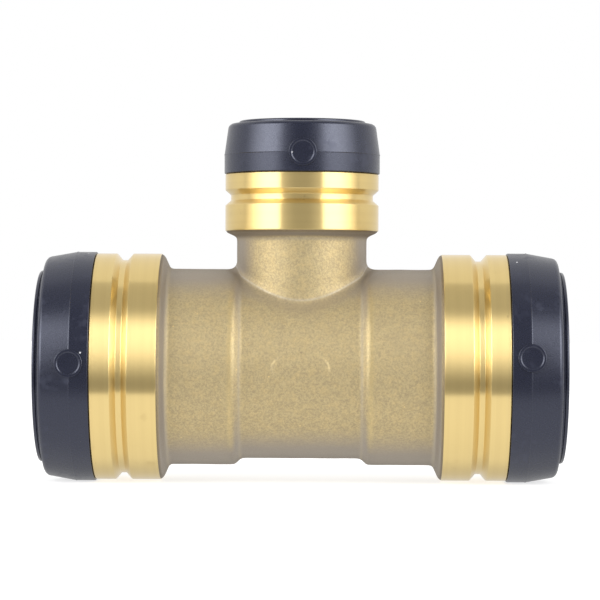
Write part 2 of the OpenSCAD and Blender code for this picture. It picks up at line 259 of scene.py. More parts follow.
class StageSettings(bpy.types.PropertyGroup):
    """Camera, floor and light"""

    distance: length("Camera distance", "Distance of the camera from the run", 920.0)
    height: length("Camera height", "Height of the camera above the run", 21.05)
    side: length("Camera side step", "How far the camera stands to the right", -0.5)
    lens: bpy.props.FloatProperty(name="Lens", description="Focal length in millimetres", default=175.5)
    yaw: angle("Camera yaw", "Turn of the camera to the left", 0.0)
    roll: angle("Camera roll", "Tilt of the camera", 0.25)
    object_yaw: angle("Object yaw", "Turn of the camera's place round the tee", 0.65)
    floor_size: length("Floor size", "Side of the floor", 6000.0)
    floor: colour("Floor", "Colour of the floor", 0.50, 0.50, 0.50)
    floor_glow: bpy.props.FloatProperty(
        name="Floor glow", description="Light that the floor gives off", default=0.72
    )
    box_light: bpy.props.FloatProperty(
        name="Side boxes", description="Brightness of the side lights", default=5.1
    )
    room_light: bpy.props.FloatProperty(name="Room", description="Brightness of the room", default=1.0)


def sizes(port):
    """The settings of one port."""
    scene = bpy.context.scene
    return scene.tee_branch if port == "branch" else scene.tee_run


def steps(port):
    """How many steps one turn round a port takes."""
    shape = bpy.context.scene.tee_shape
    return shape.branch_steps if port == "branch" else shape.run_steps


# Meshes


def round_corners(bm, corners, verts, segments):
    """Rounds each corner of an outline by its own cut."""
    for vert, corner in zip(verts, corners):
        if len(corner) == 3:
            bmesh.ops.bevel(
                bm, geom=[vert], offset=corner[2], offset_type="OFFSET", segments=segments,
                profile=0.5, affect="VERTICES", material=-1, clamp_overlap=True,
            )


def spun(corners, turns, segments=4):
    """Spins a closed outline of (radius, height) or (radius, height, rounding) corners round Z."""
    bm = bmesh.new()
    verts = [bm.verts.new((corner[0], 0.0, corner[1])) for corner in corners]
    bm.faces.new(verts)
    round_corners(bm, corners, verts, segments)
    bmesh.ops.delete(bm, geom=bm.faces[:], context="FACES_ONLY")
    on_axis = [edge for edge in bm.edges if all(abs(vert.co.x) < 1e-9 for vert in edge.verts)]
    bmesh.ops.delete(bm, geom=on_axis, context="EDGES")
    bmesh.ops.spin(
        bm, geom=bm.verts[:] + bm.edges[:], cent=(0, 0, 0), axis=(0, 0, 1),
        angle=FULL_TURN, steps=turns, use_merge=True, use_duplicate=False,
    )
    bmesh.ops.remove_doubles(bm, verts=bm.verts[:], dist=1e-7)
    bmesh.ops.recalc_face_normals(bm, faces=bm.faces[:])
    return bm


def mark_heights(bm):
    """Keeps each point's height on its port, which the turning marks follow."""
    along = bm.verts.layers.float.get("along") or bm.verts.layers.float.new("along")
    for vert in bm.verts:
        vert[along] = vert.co.z


def make_object(name, bm, materials):
    """Makes an object at the origin from a bmesh, and frees the bmesh."""
    mesh = bpy.data.meshes.new(name)
    bm.to_mesh(mesh)
    bm.free()
    for material in materials:
        mesh.materials.append(material)
    piece = bpy.data.objects.new(name, mesh)
    bpy.context.scene.collection.objects.link(piece)
    return piece


def apply_modifiers(piece):
    """Puts the result of a piece's modifiers into its mesh."""
    graph = bpy.context.evaluated_depsgraph_get()
    old = piece.data
    piece.data = bpy.data.meshes.new_from_object(piece.evaluated_get(graph))
    piece.modifiers.clear()
    bpy.data.meshes.remove(old)
    piece.data.name = piece.name


def combine(piece, tool, operation):
    """Joins or cuts a piece with a tool object, and removes the tool."""
    modifier = piece.modifiers.new("combine", "BOOLEAN")
    modifier.object = tool
    modifier.operation = operation
    modifier.solver = "EXACT"
    modifier.material_mode = "TRANSFER"
    apply_modifiers(piece)
    bpy.data.objects.remove(tool)


def smooth_shade(piece, degrees):
    """Smooth shading with flats that stay flat, and edges kept sharp above an angle."""
    piece.data.shade_smooth()
    piece.data.set_sharp_from_angle(angle=math.radians(degrees))
    modifier = piece.modifiers.new("flats", "WEIGHTED_NORMAL")
    modifier.keep_sharp = True
    apply_modifiers(piece)


def port_piece(port, part, bm, material, degrees=50):
    """Turns a piece to its port and makes its object, named after the port and the part."""
    mark_heights(bm)
    bmesh.ops.transform(bm, matrix=PORT_TURN[port], verts=bm.verts[:])
    piece = make_object(f"{port}_{part}_look", bm, [material])
    smooth_shade(piece, degrees)
    return piece


def fixed_piece(piece, node):
    """Rides a finished piece on the tee, in place of its CAD node."""
    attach(piece, "tee")
    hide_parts(node)


# Materials


def node(tree, kind, values=None, **settings):
    """Adds a shader node. A value that is a socket is linked, and any other is set."""
    made = tree.nodes.new("ShaderNode" + kind)
    for key, value in settings.items():
        setattr(made, key, value)
    for key, value in (values or {}).items():
        if isinstance(value, bpy.types.NodeSocket):
            tree.links.new(value, made.inputs[key])
        else:
            made.inputs[key].default_value = value
    return made


def calc(tree, operation, first, second=0.0, third=0.0):
    """A Math node's result."""
    return node(tree, "Math", {0: first, 1: second, 2: third}, operation=operation).outputs[0]


def ease(tree, value, low, high, start=0.0, end=1.0):
    """Goes smoothly from start to end as value goes from low to high."""
    values = {"Value": value, "From Min": low, "From Max": high, "To Min": start, "To Max": end}
    return node(tree, "MapRange", values, interpolation_type="SMOOTHSTEP").outputs[0]


def mix_colours(tree, factor, first, second):
    """Mixes two colours."""
    made = node(tree, "Mix", {0: factor, 6: first, 7: second}, data_type="RGBA")
    return made.outputs[2]


def tinted(tree, skin, mask, most, tone):
    """A skin with a tone mixed in where a mask says, up to the share given."""
    return mix_colours(tree, calc(tree, "MULTIPLY", mask, most), skin, tone)


def object_noise(tree, scale, detail=2.0, roughness=0.5):
    """Noise fixed to the object, with scale in cells for each metre."""
    values = {
        "Vector": node(tree, "TexCoord").outputs["Object"],
        "Scale": scale,
        "Detail": detail,
        "Roughness": roughness,
    }
    return node(tree, "TexNoise", values).outputs["Fac"]


def shared_group(name, inputs, outputs, build):
    """Builds a node group once. Inputs and outputs are (name, socket type, default)."""
    group = bpy.data.node_groups.get(name)
    if group:
        return group
    group = bpy.data.node_groups.new(name, "ShaderNodeTree")
    for label, kind, default in inputs:
        socket = group.interface.new_socket(name=label, in_out="INPUT", socket_type=kind)
        socket.default_value = default
    for label, kind in outputs:
        group.interface.new_socket(name=label, in_out="OUTPUT", socket_type=kind)
    entry = group.nodes.new("NodeGroupInput")
    leave = group.nodes.new("NodeGroupOutput")
    for label, result in build(group, entry.outputs).items():
        group.links.new(result, leave.inputs[label])
    return group


def use_group(tree, group, values):
    """Places a shared group in a material with its own values, and gives its outputs."""
    made = tree.nodes.new("ShaderNodeGroup")
    made.node_tree = group
    for key, value in values.items():
        if isinstance(value, bpy.types.NodeSocket):
            tree.links.new(value, made.inputs[key])
        else:
            made.inputs[key].default_value = value
    return made.outputs


def grain_group():
    """Coarse and fine grain of a cast, forged or moulded skin."""

    def build(tree, given):
        place = node(tree, "TexCoord").outputs["Object"]
        coarse_values = {"Vector": place, "Scale": given["Scale"], "Detail": 3.0}
        coarse = node(tree, "TexNoise", coarse_values).outputs[0]
        fine_scale = calc(tree, "MULTIPLY", given["Scale"], 3.3)
        fine = node(tree, "TexNoise", {"Vector": place, "Scale": fine_scale, "Detail": 2.0}).outputs[0]
        pit_scale = calc(tree, "MULTIPLY", given["Scale"], 1.7)
        pits = node(tree, "TexVoronoi", {"Vector": place, "Scale": pit_scale}).outputs["Distance"]
        pit_mask = ease(tree, pits, 0.12, 0.34)
        height = calc(tree, "MULTIPLY_ADD", fine, 0.45, calc(tree, "MULTIPLY", coarse, 0.8))
        height = calc(tree, "MULTIPLY_ADD", pit_mask, given["Pits"], height)
        tone = calc(tree, "MULTIPLY_ADD", fine, 0.5, calc(tree, "MULTIPLY", coarse, 0.5))
        return {"Height": height, "Tone": ease(tree, tone, 0.36, 0.64)}

    return shared_group(
        "Skin grain",
        [("Scale", "NodeSocketFloat", 1500.0), ("Pits", "NodeSocketFloat", 0.1)],
        [("Height", "NodeSocketFloat"), ("Tone", "NodeSocketFloat")],
        build,
    )


def turning_group():
    """Fine rings that a cutting tool leaves, which follow the height on the port."""

    def build(tree, given):
        along = node(tree, "Attribute", attribute_name="along").outputs["Fac"]
        travel = calc(tree, "MULTIPLY", along, given["Lines"])
        slow = calc(tree, "MULTIPLY", travel, 0.11)
        line = {"noise_dimensions": "1D"}
        fine = node(tree, "TexNoise", {"W": travel, "Scale": 1.0, "Detail": 2.0}, **line).outputs[0]
        broad = node(tree, "TexNoise", {"W": slow, "Scale": 1.0, "Detail": 3.0}, **line).outputs[0]
        height = calc(tree, "MULTIPLY_ADD", broad, 1.4, fine)
        return {"Height": height, "Tone": ease(tree, broad, 0.35, 0.65)}

    return shared_group(
        "Turning marks",
        [("Lines", "NodeSocketFloat", 5200.0)],
        [("Height", "NodeSocketFloat"), ("Tone", "NodeSocketFloat")],
        build,
    )


def smudge_group():
    """Soft blotches from handling and stain."""

    def build(tree, given):
        place = node(tree, "TexCoord").outputs["Object"]
        wide = node(tree, "TexNoise", {"Vector": place, "Scale": given["Scale"], "Detail": 4.0}).outputs[0]
        small_scale = calc(tree, "MULTIPLY", given["Scale"], 4.0)
        small = node(tree, "TexNoise", {"Vector": place, "Scale": small_scale, "Detail": 3.0}).outputs[0]
        both = calc(tree, "MULTIPLY_ADD", small, 0.4, calc(tree, "MULTIPLY", wide, 0.6))
        least = calc(tree, "SUBTRACT", 0.72, calc(tree, "MULTIPLY", given["Amount"], 0.3))
        most = calc(tree, "ADD", least, 0.16)
        return {"Mask": ease(tree, both, least, most)}

    return shared_group(
        "Handling smudges",
        [("Scale", "NodeSocketFloat", 60.0), ("Amount", "NodeSocketFloat", 0.5)],
        [("Mask", "NodeSocketFloat")],
        build,
    )


def dust_group():
    """Sparse specks of dust."""

    def build(tree, given):
        place = node(tree, "TexCoord").outputs["Object"]
        cells = node(tree, "TexVoronoi", {"Vector": place, "Scale": given["Scale"], "Randomness": 1.0})
        speck = ease(tree, cells.outputs["Distance"], 0.07, 0.13, 1.0, 0.0)
        pick = node(tree, "SeparateColor", {"Color": cells.outputs["Color"]}).outputs[0]
        chosen = calc(tree, "LESS_THAN", pick, given["Amount"])
        return {"Mask": calc(tree, "MULTIPLY", speck, chosen)}

    return shared_group(
        "Dust specks",
        [("Scale", "NodeSocketFloat", 500.0), ("Amount", "NodeSocketFloat", 0.1)],
        [("Mask", "NodeSocketFloat")],
        build,
    )


def wear_group():
    """Rubbed edges, from how far the surface bulges, broken up by noise."""

    def build(tree, given):
        bulge = node(tree, "NewGeometry").outputs["Pointiness"]
        place = node(tree, "TexCoord").outputs["Object"]
        patch = node(tree, "TexNoise", {"Vector": place, "Scale": 420.0, "Detail": 3.0}).outputs[0]
        edge = ease(tree, bulge, given["Start"], calc(tree, "ADD", given["Start"], 0.06))
        return {"Mask": calc(tree, "MULTIPLY", edge, ease(tree, patch, 0.3, 0.6, 0.35, 1.0))}

    return shared_group(
        "Edge wear", [("Start", "NodeSocketFloat", 0.52)], [("Mask", "NodeSocketFloat")], build
    )


def start_material(name):
    """A new node material, with its tree and its Principled shader."""
    material = bpy.data.materials.new(name)
    material.use_nodes = True
    return material, material.node_tree, material.node_tree.nodes["Principled BSDF"]


def bump(tree, shader, height, strength, distance):
    """Feeds a height through a Bump node to the shader's normal."""
    made = node(tree, "Bump", {"Height": height, "Strength": strength, "Distance": distance})
    tree.links.new(made.outputs[0], shader.inputs["Normal"])


def feed(tree, shader, **sockets):
    """Links or sets sockets of the shader, named with underscores for spaces."""
    for key, value in sockets.items():
        socket = shader.inputs[key.replace("_", " ")]
        if isinstance(value, bpy.types.NodeSocket):
            tree.links.new(value, socket)
        else:
            socket.default_value = value


def band(tree, value, start, end, soft):
    """One between start and end, and zero outside them, with soft edges."""
    enter = ease(tree, value, start - soft, start + soft)
    leave = ease(tree, value, end - soft, end + soft, 1.0, 0.0)
    return calc(tree, "MULTIPLY", enter, leave)


def pad_edge(tree, place, shape):
    """A low rounded rim round the blank pad on the front."""
    half = (shape.pad_length - shape.pad_width) / 2
    across = calc(tree, "ABSOLUTE", place["X"])
    beyond = calc(tree, "MAXIMUM", calc(tree, "SUBTRACT", across, half), 0.0)
    reach = node(tree, "CombineXYZ", {"X": beyond, "Z": place["Z"]}).outputs[0]
    out = node(tree, "VectorMath", {0: reach}, operation="LENGTH").outputs["Value"]
    rim = band(tree, out, shape.pad_width / 2 - 0.35 * MM, shape.pad_width / 2 + 0.35 * MM, 0.3 * MM)
    front = calc(tree, "LESS_THAN", place["Y"], 0.0)
    return calc(tree, "MULTIPLY", rim, front)


def forged_brass():
    """Blasted forging: a dry, speckled skin with pits and rubbed edges, painted shade in its corners, at
    the feet of its steps and along its outline, and a painted highlight at the neck's foot.
    """
    if "forged_look" in bpy.data.materials:
        return bpy.data.materials["forged_look"]
    finish = bpy.context.scene.tee_finish
    shape = bpy.context.scene.tee_shape
    material, tree, shader = start_material("forged_look")
    spot = node(tree, "TexCoord").outputs["Object"]
    place = node(tree, "SeparateXYZ", {0: spot}).outputs
    across = calc(tree, "ABSOLUTE", place["X"])
    below_neck = ease(tree, place["Z"], 0.020, 0.026, 1.0, 0.0)
    grain = use_group(tree, grain_group(), {"Scale": 1500.0, "Pits": 0.16})
    stain = use_group(tree, smudge_group(), {"Scale": 38.0, "Amount": 0.62})["Mask"]
    worn = use_group(tree, wear_group(), {"Start": 0.53})["Mask"]
    waist_top = shape.waist_a + shape.waist_slope
    rubbed = band(tree, across, waist_top + 0.2 * MM, waist_top + 1.6 * MM, 0.8 * MM)
    rubbed = calc(tree, "MULTIPLY", rubbed, below_neck)
    worn = calc(tree, "MAXIMUM", worn, calc(tree, "MULTIPLY", rubbed, 0.45))
    foot = band(tree, across, shape.waist_a - 0.1 * MM, shape.waist_a + 0.6 * MM, 0.5 * MM)
    foot = calc(tree, "MULTIPLY", foot, below_neck)
    gap = node(tree, "Attribute", attribute_name="ring_gap").outputs["Fac"]
    shoulder_foot = band(tree, gap, 2.3 * MM, 3.0 * MM, 0.5 * MM)
    # Painted shade in the corner where the forging meets the turned ring
    ring_side_shade = ease(tree, gap, 0.3 * MM, 1.0 * MM, 1.0, 0.0)
    neck_foot = node(tree, "Attribute", attribute_name="neck_foot").outputs["Fac"]
    beside = node(tree, "CombineXYZ", {"X": place["X"], "Y": place["Y"]}).outputs[0]
    from_axis = node(tree, "VectorMath", {0: beside}, operation="LENGTH").outputs["Value"]
    outside = calc(tree, "SUBTRACT", from_axis, bpy.context.scene.tee_branch.barrel_r)
    run_r = ease(tree, across, shape.waist_a, waist_top, shape.middle_r, bpy.context.scene.tee_run.barrel_r)
    run_rise = calc(tree, "SUBTRACT", calc(tree, "POWER", run_r, 2.0), calc(tree, "POWER", place["Y"], 2.0))
    above_run = calc(tree, "SUBTRACT", place["Z"], calc(tree, "SQRT", run_rise))
    down_fillet = calc(tree, "SUBTRACT", outside, above_run)
    # Painted highlight: a thin pale line along the foot of the neck's fillet
    neck_highlight = band(tree, down_fillet, -1.05 * MM, -0.45 * MM, 0.35 * MM)
    near_neck = ease(tree, outside, 1.2 * MM, 1.8 * MM, 1.0, 0.0)
    neck_highlight = calc(tree, "MULTIPLY", neck_highlight, near_neck)
    neck_highlight = calc(tree, "MULTIPLY", neck_highlight, band(tree, place["Z"], 14 * MM, 34 * MM, 2 * MM))
    dull_and_shaded = calc(tree, "MAXIMUM", foot, shoulder_foot)
    skin = mix_colours(tree, grain["Tone"], finish.forging_dark, finish.forging)
    skin = tinted(tree, skin, stain, 0.28, finish.forging_dark)
    warm = object_noise(tree, 420.0, 4.0, 0.7)
    skin = mix_colours(tree, ease(tree, warm, 0.40, 0.72, 0.0, 0.22), skin, finish.turned_dull)
    pocks = use_group(tree, dust_group(), {"Scale": 330.0, "Amount": 0.09})["Mask"]
    skin = tinted(tree, skin, pocks, 0.45, finish.grime_and_shade)
    nicks = use_group(tree, dust_group(), {"Scale": 410.0, "Amount": 0.07})["Mask"]
    skin = tinted(tree, skin, nicks, 0.6, finish.turned)
    skin = tinted(tree, skin, worn, 0.5, finish.turned)
    slant = node(tree, "LayerWeight", {"Blend": 0.5}).outputs["Facing"]
    # Painted shade with a grey cast on the skin as it turns away from view
    skin = mix_colours(tree, ease(tree, slant, 0.2, 0.6), skin, finish.forging_slant_shade)
    # Painted shade along the forging's outline, where the skin turns furthest from view
    skin = mix_colours(tree, ease(tree, slant, 0.64, 0.94, 0.0, 0.50), skin, finish.grime_and_shade)
    # Painted shade at the feet of the steps; the roughness and metal set below give them a real duller
    # finish
    skin = tinted(tree, skin, dull_and_shaded, 0.6, finish.foot_dull_shade)
    # Painted shade on the run just below the neck's fillet
    skin = tinted(tree, skin, neck_foot, 0.5, finish.grime_and_shade)
    # Painted highlight along the neck's foot, in the dust colour
    neck_highlight = calc(tree, "MULTIPLY", neck_highlight, ease(tree, warm, 0.35, 0.60, 0.45, 1.0))
    skin = tinted(tree, skin, neck_highlight, 0.22, finish.dust)
    dull_and_shaded = calc(tree, "MAXIMUM", dull_and_shaded, neck_foot)
    # Painted shade beside the turned ring
    skin = tinted(tree, skin, ring_side_shade, 0.75, finish.grime_and_shade)
    rough = calc(tree, "MULTIPLY_ADD", grain["Tone"], -0.08, finish.forging_gloss + 0.04)
    rough = calc(tree, "MULTIPLY_ADD", worn, -0.10, rough)
    rough = calc(tree, "MULTIPLY_ADD", dull_and_shaded, 0.15, rough)
    rough = calc(tree, "MULTIPLY_ADD", neck_highlight, -0.12, rough)
    metal = calc(tree, "MULTIPLY_ADD", worn, 0.3, finish.forging_metal)
    metal = calc(tree, "MULTIPLY_ADD", dull_and_shaded, -0.35, metal)
    feed(tree, shader, Base_Color=skin, Roughness=rough, Metallic=metal)
    height = calc(tree, "MULTIPLY_ADD", pad_edge(tree, place, shape), 0.5, grain["Height"])
    bump(tree, shader, height, 0.5, 0.00020)
    return material


def turned_brass(port):
    """Brass cut on a lathe, with fine rings round the port's axis and faint handling marks."""
    axis = "Z" if port == "branch" else "X"
    name = f"turned_look_{axis.lower()}"
    if name in bpy.data.materials:
        return bpy.data.materials[name]
    finish = bpy.context.scene.tee_finish
    material, tree, shader = start_material(name)
    marks = use_group(tree, turning_group(), {"Lines": 5200.0})
    smudge = use_group(tree, smudge_group(), {"Scale": 55.0, "Amount": 0.42})["Mask"]
    spots = use_group(tree, smudge_group(), {"Scale": 160.0, "Amount": 0.20})["Mask"]
    tone = tinted(tree, finish.turned, marks["Tone"], 0.14, finish.turned_dull)
    tone = tinted(tree, tone, smudge, 0.40, finish.turned_dull)
    tone = tinted(tree, tone, spots, 0.55, finish.stain)
    pocks = use_group(tree, dust_group(), {"Scale": 150.0, "Amount": 0.05})["Mask"]
    tone = tinted(tree, tone, pocks, 0.35, finish.grime_and_shade)
    rough = calc(tree, "MULTIPLY_ADD", smudge, 0.07, finish.turned_gloss)
    around = node(tree, "Tangent", direction_type="RADIAL", axis=axis).outputs[0]
    feed(tree, shader, Base_Color=tone, Roughness=rough, Metallic=1.0, Tangent=around)
    feed(tree, shader, Anisotropic=1.0, Anisotropic_Rotation=0.25)
    bump(tree, shader, marks["Height"], 0.18, 0.00002)
    return material


def cap_plastic():
    """Moulded plastic with a fine texture, rubbed patches and some dust."""
    if "cap_look" in bpy.data.materials:
        return bpy.data.materials["cap_look"]
    finish = bpy.context.scene.tee_finish
    material, tree, shader = start_material("cap_look")
    grain = use_group(tree, grain_group(), {"Scale": 900.0, "Pits": 0.0})
    rubbed = use_group(tree, smudge_group(), {"Scale": 95.0, "Amount": 0.62})["Mask"]
    dust = use_group(tree, dust_group(), {"Scale": 330.0, "Amount": 0.05})["Mask"]
    tone = tinted(tree, finish.cap, rubbed, 0.8, finish.cap_worn)
    tone = tinted(tree, tone, dust, 0.8, finish.dust)
    rough = calc(tree, "MULTIPLY_ADD", rubbed, 0.10, finish.cap_gloss - 0.04)
    rough = calc(tree, "MULTIPLY_ADD", grain["Tone"], 0.05, rough)
    feed(tree, shader, Base_Color=tone, Roughness=rough, IOR=1.74, Specular_Tint=finish.plastic_sheen)
    bump(tree, shader, grain["Height"], 0.12, 0.00008)
    return material


def plain_plastic(name, tone, roughness, grain_scale=1400.0):
    """A moulded plastic or rubber with faint grain and a little variation."""
    if name in bpy.data.materials:
        return bpy.data.materials[name]
    finish = bpy.context.scene.tee_finish
    material, tree, shader = start_material(name)
    grain = use_group(tree, grain_group(), {"Scale": grain_scale, "Pits": 0.0})
    rubbed = use_group(tree, smudge_group(), {"Scale": 90.0, "Amount": 0.40})["Mask"]
    mixed = tinted(tree, tone, rubbed, 0.06, finish.dust)
    rough = calc(tree, "MULTIPLY_ADD", grain["Tone"], 0.08, roughness)
    feed(tree, shader, Base_Color=mixed, Roughness=rough, IOR=1.68, Specular_Tint=finish.plastic_sheen)
    bump(tree, shader, grain["Height"], 0.15, 0.00005)
    return material


def spring_steel():
    """Rolled stainless strip, pressed and tumbled."""
    if "steel_look" in bpy.data.materials:
        return bpy.data.materials["steel_look"]
    finish = bpy.context.scene.tee_finish
    material, tree, shader = start_material("steel_look")
    streaks = object_noise(tree, 900.0, 3.0, 0.6)
    grain = use_group(tree, grain_group(), {"Scale": 2200.0, "Pits": 0.0})
    tone = mix_colours(tree, ease(tree, streaks, 0.35, 0.65, 0.0, 0.35), finish.steel, finish.dust)
    rough = calc(tree, "MULTIPLY_ADD", streaks, 0.15, 0.18)
    feed(tree, shader, Base_Color=tone, Roughness=rough, Metallic=1.0)
    bump(tree, shader, grain["Height"], 0.15, 0.00004)
    return material


# Forged body


def run_outline(shape, run):
    """Half of the run's forging is drawn and mirrored, from its waist to past the start of the ring."""
    rise = (run.ring_r - run.barrel_r) / math.tan(shape.shoulder_slope)
    half = [
        (shape.middle_r, shape.waist_a),
        (run.barrel_r, shape.waist_a + shape.waist_slope),
        (run.barrel_r, run.foot_a),
        (run.ring_r, run.foot_a + rise, 0.9 * MM),
        (run.ring_r, run.ring_a + RUN_ON),
        (0.0, run.ring_a + RUN_ON),
    ]
    other = [(corner[0], -corner[1], *corner[2:]) for corner in reversed(half)]
    return half + other


def neck_outline(shape, branch):
    """The neck, from inside the run to past the start of the branch ring."""
    rise = (branch.ring_r - branch.barrel_r) / math.tan(shape.shoulder_slope)
    return [
        (0.0, 2 * MM),
        (branch.barrel_r, 2 * MM),
        (branch.barrel_r, branch.foot_a),
        (branch.ring_r, branch.foot_a + rise, 0.8 * MM),
        (branch.ring_r, branch.ring_a + RUN_ON),
        (0.0, branch.ring_a + RUN_ON),
    ]


def port_cutter(port):
    """What a lathe takes out of the forging: waterway, bore, and all past the ring's start."""
    given = sizes(port)
    beyond = given.ring_a + 8 * MM
    wide = given.ring_r + 6 * MM
    corners = [
        (0.0, -3 * MM),
        (given.water_r, -3 * MM),
        (given.water_r, given.stop_a),
        (given.bore_r, given.stop_a),
        (given.bore_r, given.floor_a - 0.4 * MM),
        (given.bore_r + (given.ring_a - given.floor_a + 0.4 * MM), given.ring_a),
        (wide, given.ring_a),
        (wide, beyond),
        (0.0, beyond),
    ]
    bm = spun(corners, steps(port))
    bmesh.ops.transform(bm, matrix=PORT_TURN[port], verts=bm.verts[:])
    return make_object(f"{port}_cutter", bm, [turned_brass(port)])


def junction_distance(place, shape, run, branch):
    """How far a point of the skin is from the line where the neck meets the run."""
    from_run = math.hypot(place.y, place.z)
    slope = (abs(place.x) - shape.waist_a) / shape.waist_slope
    run_r = shape.middle_r + (run.barrel_r - shape.middle_r) * min(max(slope, 0.0), 1.0)
    return abs(math.hypot(place.x, place.y) - branch.barrel_r) + abs(from_run - run_r)


def pad_lift(place, shape):
    """Height of the blank pad on the front of the waist, with soft edges."""
    if place.y > 0:
        return 0.0
    half = (shape.pad_length - shape.pad_width) / 2
    beyond = max(abs(place.x) - half, 0.0)
    edge = math.hypot(beyond, place.z) - shape.pad_width / 2
    rise = min(max(0.5 - edge / (1.4 * MM), 0.0), 1.0)
    return shape.pad_height * rise * rise * (3 - 2 * rise)


class TEE_OT_forged_body(bpy.types.Operator):
    """Build the forged middle of the tee with its waist, neck fillet, blank pad and bores"""

    bl_idname = "tee.forged_body"
    bl_label = "Forged Body"
    bl_options = {"REGISTER", "UNDO"}

    def execute(self, context):
        shape = context.scene.tee_shape
        run = context.scene.tee_run
        branch = context.scene.tee_branch
        bm = spun(run_outline(shape, run), shape.run_steps)
        bmesh.ops.transform(bm, matrix=PORT_TURN["right"], verts=bm.verts[:])
        body = make_object("forged_body_look", bm, [forged_brass()])
        neck = make_object("neck", spun(neck_outline(shape, branch), shape.branch_steps), [forged_brass()])
        combine(body, neck, "UNION")
        skin = body.modifiers.new("skin", "REMESH")
        skin.mode = "VOXEL"
        skin.voxel_size = shape.forging_cell
        apply_modifiers(body)
        self.soften(body.data, shape, run, branch)
        for port in PORT_TURN:
            combine(body, port_cutter(port), "DIFFERENCE")
        self.mark_places(body.data, run, branch)
        body.data.shade_smooth()
        body.data.set_sharp_from_angle(angle=math.radians(38))
        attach(body, "tee")
        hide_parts("tee_body")
        return {"FINISHED"}

    def soften(self, mesh, shape, run, branch):
        """Fillets the neck, takes the grid out of the skin, and gives it a forging's slight unevenness."""
        bm = bmesh.new()
        bm.from_mesh(mesh)
        reach = shape.neck_fillet
        for _ in range(5):
            near = []
            for vert in bm.verts:
                if vert.co.z > 0 and junction_distance(vert.co, shape, run, branch) < reach:
                    near.append(vert)
            self.smooth(bm, near, 6)
            reach *= 0.85
        self.smooth(bm, bm.verts[:], 3)
        bm.normal_update()
        lifts = []
        for vert in bm.verts:
            broad = noise.noise(vert.co * 150) * 0.05
            small = noise.noise(vert.co * 420) * 0.022
            lifts.append((broad + small) * MM + pad_lift(vert.co, shape))
        for vert, lift in zip(bm.verts, lifts):
            vert.co += vert.normal * lift
        bm.to_mesh(mesh)
        bm.free()

    def smooth(self, bm, verts, times):
        """Evens out the points given, again and again."""
        for _ in range(times):
            bmesh.ops.smooth_vert(
                bm, verts=verts, factor=0.5, use_axis_x=True, use_axis_y=True, use_axis_z=True
            )

    def mark_places(self, mesh, run, branch):
        """Keeps each point's height on its port, its gap to the turned ring, and the band of painted shade
        at the neck's foot.
        """
        places = np.empty(len(mesh.vertices) * 3, np.float32)
        mesh.vertices.foreach_get("co", places)
        places = places.reshape(-1, 3)
        from_neck = np.hypot(places[:, 0], places[:, 1])
        on_branch = (places[:, 2] > run.water_r) & (from_neck < branch.ring_r + 1 * MM)
        heights = np.where(on_branch, places[:, 2], np.abs(places[:, 0]))
        gaps = np.where(on_branch, branch.ring_a, run.ring_a) - heights
        outside = (from_neck - branch.barrel_r) / MM
        # Painted shade below the neck's fillet sets in over the first 0.7 mm outside the neck, and thins
        # out from 2.0 to 4.4 mm
        sets_in = np.clip(outside / 0.7, 0, 1)
        thins_out = np.clip((4.4 - outside) / 2.4, 0, 1)
        upper_side = np.clip((places[:, 2] / MM - 12) / 4, 0, 1)
        foot = sets_in * thins_out * upper_side
        for name, values in (("along", heights), ("ring_gap", gaps), ("neck_foot", foot)):
            layer = mesh.attributes.get(name) or mesh.attributes.new(name, "FLOAT", "POINT")
            layer.data.foreach_set("value", values.astype(np.float32))


# Turned ends


class TEE_OT_turned_ends(bpy.types.Operator):
    """Build the three turned ends with their tool grooves, noses and pockets"""

    bl_idname = "tee.turned_ends"
    bl_label = "Turned Ends"
    bl_options = {"REGISTER", "UNDO"}

    def execute(self, context):
        shape = context.scene.tee_shape
        for port in PORT_TURN:
            given = sizes(port)
            half_floor = shape.groove_floor / 2
            half_mouth = half_floor + given.groove_depth * math.tan(shape.groove_lean)
            groove_r = given.ring_r - given.groove_depth
            clip = given.nose_end - CLIP_BACK
            corners = [
                (given.bore_r + 0.2 * MM, given.ring_a),
                (given.ring_r - 0.06 * MM, given.ring_a, 0.1 * MM),
                (given.ring_r, given.ring_a + 0.4 * MM),
                (given.ring_r, given.groove_a - half_mouth, 0.18 * MM),
                (groove_r, given.groove_a - half_floor, 0.22 * MM),
                (groove_r, given.groove_a + half_floor, 0.22 * MM),
                (given.ring_r, given.groove_a + half_mouth, 0.18 * MM),
                (given.ring_r, given.seam_a - 0.3 * MM, 0.05 * MM),
                (given.ring_r - 0.3 * MM, given.seam_a, 0.05 * MM),
                (given.nose_r, given.seam_a, 0.15 * MM),
                (given.nose_r, clip - 1.3 * MM),
                (given.nose_r - 0.5 * MM, clip - 0.8 * MM),
                (given.nose_r - 0.5 * MM, clip + 0.8 * MM),
                (given.nose_r, clip + 1.3 * MM),
                (given.nose_r, given.nose_end, 0.3 * MM),
                (given.pocket_r, given.nose_end, 0.35 * MM),
                (given.pocket_r, given.floor_a, 0.15 * MM),
                (given.bore_r + 0.4 * MM, given.floor_a),
            ]
            bm = spun(corners, steps(port))
            piece = port_piece(port, "turned_end", bm, turned_brass(port), 30)
            fixed_piece(piece, "tee_body")
        return {"FINISHED"}


# End caps


